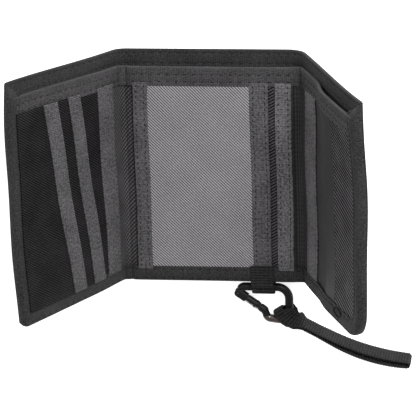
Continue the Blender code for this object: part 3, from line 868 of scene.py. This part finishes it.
# A sewn oval low on the right wing, over the bottom binding.
OVAL_U, OVAL_Y, OVAL_HALF_U, OVAL_HALF_Y = 58.5, -49.0, 4.6, 1.7
ring = [
    (RIGHT.shift + OVAL_U + OVAL_HALF_U * math.cos(a), OVAL_Y + OVAL_HALF_Y * math.sin(a), 0.36)
    for a in np.linspace(0, 2 * math.pi, 19)
]
oval_runs = [(front_of(RIGHT), a, b) for a, b in zip(ring, ring[1:])]
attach(stitches("right_sewn_oval", oval_runs, THREAD, 0.5, 1.4, 0.3), "right_wing")

for side, label, radius, pieces in (
    (LEFT, "left", LEFT_CORNER, left_pieces), (RIGHT, "right", RIGHT_CORNER, right_pieces),
):
    front, back = front_of(side), over_back(side)
    inner = side.end - EDGE_SEAMS[1] * SIDE_SHARE
    runs = []
    for place, short, y, n in (
        (front, 6.0, LINER_TOP - LINER_SEAMS[0], 0.1),
        (front, 6.0, LINER_TOP - LINER_SEAMS[1], 0.1),
        (back, 7.0, TOP - SHELL_SEAMS[0], SHELL + 0.12),
        (back, 8.0, TOP - SHELL_SEAMS[1], SHELL + 0.12),
        (front, radius, -TOP + EDGE_SEAMS[1], 0.12),
        (front, radius, -TOP + EDGE_SEAMS[0], 0.12),
        (front, None, None, 0.12),
        (back, 7.0, TOP - SHELL_SEAMS[1], -0.15),
        (back, 7.0, -TOP + EDGE_SEAMS[1], -0.15),
        (back, None, None, -0.15),
    ):
        if short is None:  # down the wing's outer side
            runs.append((place, (inner, -TOP + radius, n), (inner, TOP - 8.5, n)))
        else:
            runs += long_runs(place, side.end - short, y, n)
    across(side, *pieces, stitches(f"{label}_binding_stitching", runs, THREAD))

# ---------- the leash
BAR_LEVEL = 3.1  # height of the hook's plane
HOOK = (  # x, y and the bend's radius
    (10.8, -59.4, 0.0),  # the gate's pivot
    (12.6, -56.6, 2.2),
    (34.0, -56.6, 5.5),
    (34.0, -72.9, 4.6),
    (24.0, -71.5, 2.2),
    (22.6, -67.7, 1.2),  # the neck
    (20.45, -66.16, 0.0),  # the nose
)
GATE_ANGLE, GATE_LENGTH = math.radians(-35.0), 11.6
WEBBING_THICK, RIB, RIDGE_SHARE = 0.9, 1.25, 0.8
HALF_THICK = WEBBING_THICK / 2


def power(value, exponent):
    """A power that keeps the sign: under 1 it makes a round section squarer."""
    return math.copysign(abs(value) ** exponent, value)


def round_end(over, radius, least):
    """The share of a rod's width at a distance past the start of its rounded end."""
    return math.sqrt(max(least, 1 - max(0.0, over / radius) ** 2))


def bent(corners):
    """Closely spaced points along a rod that is bent round its corners."""
    degrees, spacing = 6.0, 0.7
    points = [Vector(corners[0][:2])]
    for before, here, after in zip(corners, corners[1:], corners[2:]):
        at, radius = Vector(here[:2]), here[2]
        back = (Vector(before[:2]) - at).normalized()
        ahead = (Vector(after[:2]) - at).normalized()
        half = back.angle(ahead) / 2
        centre = at + (back + ahead).normalized() * radius / math.sin(half)
        first = at + back * radius / math.tan(half) - centre
        sweep = (math.pi - 2 * half) * (1.0 if back.cross(ahead) < 0 else -1.0)
        count = max(3, round(abs(math.degrees(sweep)) / degrees))
        points += [centre + Matrix.Rotation(sweep * i / count, 2) @ first for i in range(count + 1)]
    points.append(Vector(corners[-1][:2]))
    dense = []
    for a, b in zip(points, points[1:]):
        parts = max(1, round((b - a).length / spacing))
        dense += [a + (b - a) * i / parts for i in range(parts)]
    return dense + [points[-1]]


def rod(name, path, section, materials, choose):
    """A metal rod in the hook's plane. section(run, whole) gives its half width, half height, and
    how square it is; choose(run, whole, angle) picks one of the materials."""
    path = np.array([tuple(p) for p in path])
    run = np.concatenate([[0.0], np.cumsum(np.linalg.norm(np.diff(path, axis=0), axis=1))])
    direction = np.gradient(path, axis=0)
    direction /= np.linalg.norm(direction, axis=1)[:, None]
    rings, uvs, picks = [], [], []
    for (x, y), (dx, dy), length in zip(path, direction, run):
        half_width, half_height, square = section(length, run[-1])
        ring, ring_uv = [], []
        for i in range(24):
            a = 2 * math.pi * i / 24
            w = half_width * power(math.cos(a), square)
            h = half_height * power(math.sin(a), square)
            ring.append((x - dy * w, y + dx * w, BAR_LEVEL + h))
            ring_uv.append((length, a * half_width))
            picks.append(choose(length, run[-1], math.degrees(a)))
        rings.append(ring)
        uvs.append(ring_uv)
    obj = swept(name, rings, uvs, materials[0], still=True)
    for material in materials[1:]:
        obj.data.materials.append(material)
    flat = np.array(rings).reshape(-1, 3)
    for polygon in obj.data.polygons:
        centre = np.array(polygon.center) / MM
        polygon.material_index = picks[int(np.argmin(((flat - centre) ** 2).sum(axis=1)))]
    return obj


def frame_section(run, whole):
    """Flat tongue in the gate's fork, round rod, and a neck before the blunt nose."""
    tongue = ramp(run, 2.6, 1.2)
    neck = 0.2 * math.exp(-(((run - whole + 4.2) / 1.1) ** 2))
    tip = 0.8 + 0.2 * round_end(run - whole + 0.3, 0.32, 0.0)
    start = round_end(1.3 - run, 1.31, 0.05)
    width = (1.55 + 0.35 * tongue) * start * tip - neck
    return width, (0.72 + 1.18 * tongue - neck * 0.5) * tip, 1.0 - 0.12 * (1 - tongue)


def worn_nose(run, whole, angle):
    return int(whole - 14.5 + 1.5 * math.sin(angle / 50) < run < whole - 4.6)


def gate_section(run, whole):
    """A barrel with a shoulder before its end."""
    shoulder = 0.15 * ramp(run - whole, -2.4, 0.4) - 0.2 * ramp(run - whole, -1.2, 0.4)
    tip = 0.85 + 0.15 * round_end(run - whole + 0.25, 0.26, 0.05)
    size = (1.86 + shoulder) * tip
    return size * round_end(1.5 - run, 1.51, 0.05), size, 0.92


# Painted reflection: the gate's flank turned towards the wallet's bottom edge takes the light grey
# metal, except at the shoulder.
def painted_reflection_flank(run, whole, angle):
    return int(118 < angle < 215 and not whole - 2.6 < run < whole - 2.0)


hook_path = bent(HOOK)
lead = (hook_path[0] - hook_path[1]).normalized()
hook_path = [hook_path[0] + lead * d for d in (1.3, 0.9, 0.45)] + hook_path
hook_frame = rod("hook_frame_metal", hook_path, frame_section, (HOOK_BLACK, HOOK_WORN), worn_nose)
carry(hook_frame, "hook", "hook_frame")

along = Vector((math.cos(GATE_ANGLE), math.sin(GATE_ANGLE)))
pivot = Vector(HOOK[0][:2])


def gate_cheek(label, sign):
    """One side of the gate's fork: a flat ear round the pin that runs into the barrel."""
    low, high = 1.07, 1.85
    rings, uvs = [], []
    for s in np.linspace(-1.7, 4.6, 14):
        point = pivot + along * s
        reach = 1.84 * round_end(-s, 1.74, 0.03)
        ring = []
        for a in np.linspace(0, 2 * math.pi, 16, endpoint=False):
            c = math.cos(a)
            w = reach * power(c, 0.6)
            bulge = power(math.sin(a), 0.6) * math.sqrt(1 - 0.55 * c * c)
            h = (low + high) / 2 + (high - low) / 2 * bulge
            ring.append((point.x - along.y * w, point.y + along.x * w, BAR_LEVEL + sign * h))
        rings.append(ring)
        uvs.append([(s, i * 0.4) for i in range(16)])
    return swept(f"gate_cheek_{label}", rings, uvs, HOOK_BLACK, still=True)


barrel = [pivot + along * s for s in np.linspace(3.9, GATE_LENGTH, 34)]
# The gate is black, with a painted reflection along one flank.
hook_gate = rod("hook_gate_metal", barrel, gate_section, (HOOK_BLACK, HOOK_PAINTED_REFLECTION), painted_reflection_flank)
for piece in (hook_gate, gate_cheek("upper", 1), gate_cheek("lower", -1)):
    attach(piece, "gate")
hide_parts("hook_gate")
for node in ("hook_gate_pin", "hook_gate_spring"):
    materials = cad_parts[node].data.materials
    materials.clear()
    materials.append(STEEL)


def webbing_band(name, outline, place, edges, closed, depth):
    """Webbing along an outline of (distance, height) at its mid-thickness. edges(s) gives its two
    side edges, and depth is how high its ribs are."""
    outline = np.asarray(outline, float)
    if closed:
        outline = np.concatenate([outline, outline[:1]])
    run = np.concatenate([[0.0], np.cumsum(np.linalg.norm(np.diff(outline, axis=0), axis=1))])
    marks = np.linspace(0.0, run[-1], round(run[-1] / 0.32), endpoint=not closed)
    s, d = (np.interp(marks, run, outline[:, k]) for k in (0, 1))
    if closed:
        ts, td = (np.roll(v, -1) - np.roll(v, 1) for v in (s, d))
    else:
        ts, td = np.gradient(s), np.gradient(d)
    size = np.hypot(ts, td)
    shares = [-1.0, -0.985, -0.93, -0.8, -0.5, -0.17, 0.17, 0.5, 0.8, 0.93, 0.985, 1.0]
    skins = [(share, 1) for share in shares] + [(share, -1) for share in shares[-2:0:-1]]
    rings, uvs = [], []
    for mark, s0, d0, n_s, n_d in zip(marks, s, d, -td / size, ts / size):
        low, high = edges(s0)
        ridge = depth * math.cos(2 * math.pi * mark / RIB)
        ring, ring_uv = [], []
        for share, face in skins:
            half = HALF_THICK * math.sqrt(max(0.0, 1 - abs(share) ** 14))
            edge_ridge = ridge * RIDGE_SHARE * (abs(share) > 0.9) * math.copysign(1, share)
            w = (low + high) / 2 + (high - low) / 2 * share + edge_ridge
            offset = face * (half + ridge * (half > 0.2))
            ring.append(place(s0 + n_s * offset, w, d0 + n_d * offset))
            ring_uv.append((mark - RIB / 2, w if face > 0 else w + 15))
        rings.append(ring)
        uvs.append(ring_uv)
    if closed:
        rings.append(rings[0])
        uvs.append([(run[-1] - RIB / 2, v) for _, v in uvs[0]])
    width = max(high - low for low, high in map(edges, s))
    piece = swept(name, rings, uvs, WEBBING, caps=not closed, still=True)
    return cut_to(piece, run[-1])


# The strap is doubled, with an eye round the hook's corner. Beyond the eye it turns onto its edge.
# Distances run from the eye's inner end, and angles are headings in the ground plane.
EYE_END, STRAP_LENGTH = 0.3, 64.5
STRAP_TURN = math.radians(83.6)
START_ANGLE, BEND_ANGLE, EYE_SKEW = -27.7, 23.8, math.radians(-30.0)
BEND_FROM, BEND_OVER = 28.0, 36.5
STRAP_AT, STRAP_AT_XY = 12.0, (40.02, -73.16)  # the strap passes this point


def half_gap(s):
    """Half of the distance between the strap's two runs: open in the eye, sewn, then slack."""
    eye, sewn, slack = 2.4, 0.15, 0.9
    if s < 11.0:
        return eye + (sewn - eye) * ramp(s, 6.8, 4.2)
    return sewn + slack * math.sin(math.pi * min(1.0, max(0.0, s - 20.0) / 60.0))


def strap_heading(s):
    eye = EYE_SKEW * (1 - ramp(s, 2.0, 9.0))
    bend = BEND_ANGLE * min(1.0, max(0.0, s - BEND_FROM) / BEND_OVER)
    return math.radians(START_ANGLE + bend) + eye


marks = np.linspace(-4.0, 70.0, 741)
headings = np.array([strap_heading(s) for s in marks])
steps = np.stack([np.cos(headings), np.sin(headings)], -1)[:-1] * 0.1
spine = np.concatenate([[[0.0, 0.0]], np.cumsum(steps, axis=0)])
spine += np.array(STRAP_AT_XY) - [np.interp(STRAP_AT, marks, spine[:, k]) for k in (0, 1)]


def strap_place(s, w, d):
    heading = strap_heading(s)
    x, y = (np.interp(s, marks, spine[:, k]) for k in (0, 1))
    twist = STRAP_TURN * ramp(s, 5.5, 8.0)
    height = 6.7 * math.sin(twist) + (half_gap(s) + WEBBING_THICK) * math.cos(twist) + 0.15
    lateral = Vector((-math.sin(heading), math.cos(heading), 0.0))
    up = Vector((0.0, 0.0, 1.0))
    width_way = lateral * math.cos(twist) - up * math.sin(twist)
    normal = lateral * math.sin(twist) + up * math.cos(twist)
    return Vector((x, y, height)) + width_way * w + normal * d


def strap_edges(s):
    low = -5.8 + 2.5 * ramp(s, 4.0, 8.0)
    high = -1.0 + 4.4 * ramp(s - EYE_END, 0.5, 2.0) + 3.3 * ramp(s, 7.0, 6.0)
    return low, high


eye_radius, far_radius = half_gap(0.0) + HALF_THICK, half_gap(62.5) + HALF_THICK
far_middle = STRAP_LENGTH - far_radius
upper = np.linspace(EYE_END + eye_radius, far_middle - 0.4, 90)
strap_outline = [(s, half_gap(s) + HALF_THICK) for s in upper]
for a in np.linspace(1.45, -1.45, 15):
    strap_outline.append((far_middle + far_radius * math.cos(a), far_radius * math.sin(a)))
strap_outline += [(s, -half_gap(s) - HALF_THICK) for s in upper[::-1]]
for a in np.linspace(-1.45, 1.45, 21):
    s = EYE_END + eye_radius * (1 - power(math.cos(a), 0.66))
    strap_outline.append((s, eye_radius * power(math.sin(a), 0.66)))
leash_strap = webbing_band(
    "leash_strap_webbing", strap_outline, strap_place, strap_edges, True, 0.09
)
carry(leash_strap, "strap", "leash_strap")

# The loop lies on the bottom binding, goes round the hook's bar and comes back under the wallet.
LOOP_X, LOOP_WIDTH, LOOP_RADIUS = 22.5, 10.4, 2.65
BAR_Y = HOOK[1][1]
loop_front = CENTRE_STACK + 0.85
loop_line = [(y, loop_front) for y in (-45.0, -47.0, -49.0, -51.0, -52.6)]
loop_line += [(-53.8, loop_front - 0.12), (-54.9, loop_front - 0.75)]
for degrees in range(72, 273, 8):
    a = math.radians(degrees)
    loop_line.append((BAR_Y + LOOP_RADIUS * math.cos(a), BAR_LEVEL + LOOP_RADIUS * math.sin(a)))
loop_line.append((-54.4, BAR_LEVEL - LOOP_RADIUS))


def loop_place(y, w, z):
    return Vector((LOOP_X + w, y, z))


def loop_edges(y):
    return -LOOP_WIDTH / 2, LOOP_WIDTH / 2


leash_loop = webbing_band("leash_loop_webbing", loop_line, loop_place, loop_edges, False, 0.14)
carry(leash_loop, "centre", "leash_loop")
